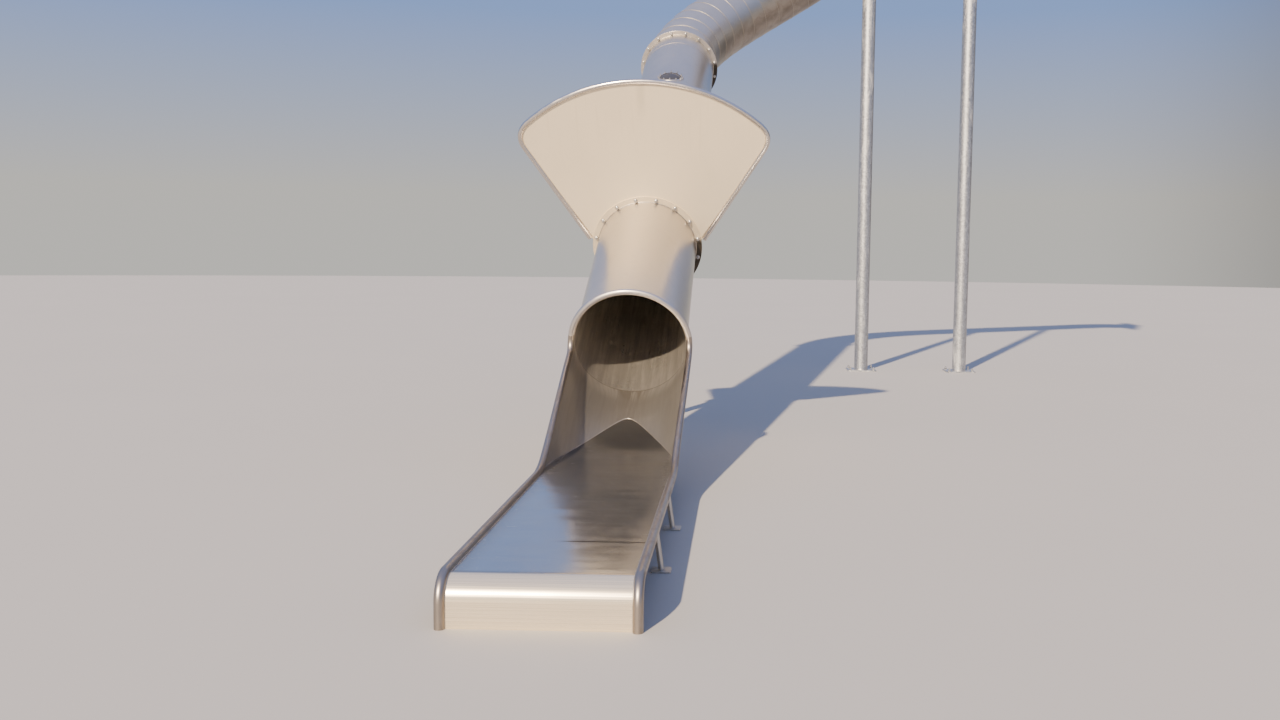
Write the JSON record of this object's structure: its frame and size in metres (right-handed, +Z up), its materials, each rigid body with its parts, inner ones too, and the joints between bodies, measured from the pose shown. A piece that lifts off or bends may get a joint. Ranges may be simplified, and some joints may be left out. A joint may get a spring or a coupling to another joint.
{
  "type": "giant tube slide",
  "caption": "Tall stainless steel tube slide: open run-out trough, hooded mouth with a fan-shaped panel, sloping tube, gored elbow turning right, straight upper run and level entry.",
  "frame": {"origin": "middle of the bottom of the bounding box, on the ground", "axes": "+Z up; +Y from the exit's nose up along the lower tube, which is the longest way; +X to the right of someone facing the slide, the way the elbow turns"},
  "size_m": [6.0644, 10.8956, 7.3336],
  "materials": {
    "sheet_stainless": "3 mm stainless sheet with a fine satin grain, lightly worn and dusty",
    "polished_tube": "bright satin stainless tube along every edge",
    "flange_stainless": "duller stainless plate, bolted",
    "post_steel": "hot-dip galvanised steel pole and saddle",
    "dark_window": "dark tinted polycarbonate"
  },
  "bodies": {
    "root": {"trough_floor": "sheet_stainless", "left_edge_rail": "polished_tube", "right_edge_rail": "polished_tube", "exit_chute": "sheet_stainless", "hood_rim": "polished_tube", "hood_tube": "sheet_stainless", "fan_panel": "sheet_stainless", "fan_edge_tube": "polished_tube", "hood_flange": "flange_stainless", "lower_tube_flange": "flange_stainless", "lower_tube": "sheet_stainless", "porthole_tube": "sheet_stainless", "mitre_can": "sheet_stainless", "porthole_ring": "polished_tube", "porthole_window": "dark_window", "mitre_can_flange": "flange_stainless", "elbow_flange": "flange_stainless", "elbow_gore_1": "sheet_stainless", "elbow_gore_2": "sheet_stainless", "elbow_gore_3": "sheet_stainless", "elbow_gore_4": "sheet_stainless", "elbow_gore_5": "sheet_stainless", "elbow_gore_6": "sheet_stainless", "elbow_gore_7": "sheet_stainless", "elbow_gore_8": "sheet_stainless", "elbow_gore_9": "sheet_stainless", "elbow_gore_10": "sheet_stainless", "elbow_gore_11": "sheet_stainless", "elbow_tail": "sheet_stainless", "upper_joint_low_flange": "flange_stainless", "upper_joint_high_flange": "flange_stainless", "upper_tube": "sheet_stainless", "entry_joint_low_flange": "flange_stainless", "entry_joint_high_flange": "flange_stainless", "entry_gore_1": "sheet_stainless", "entry_gore_2": "sheet_stainless", "entry_gore_3": "sheet_stainless", "entry_tube": "sheet_stainless", "entry_plate": "sheet_stainless", "front_leg_frame": "flange_stainless", "rear_leg_frame": "flange_stainless", "lower_post": "post_steel", "elbow_post": "post_steel", "upper_post": "post_steel"}
  },
  "joints": []
}
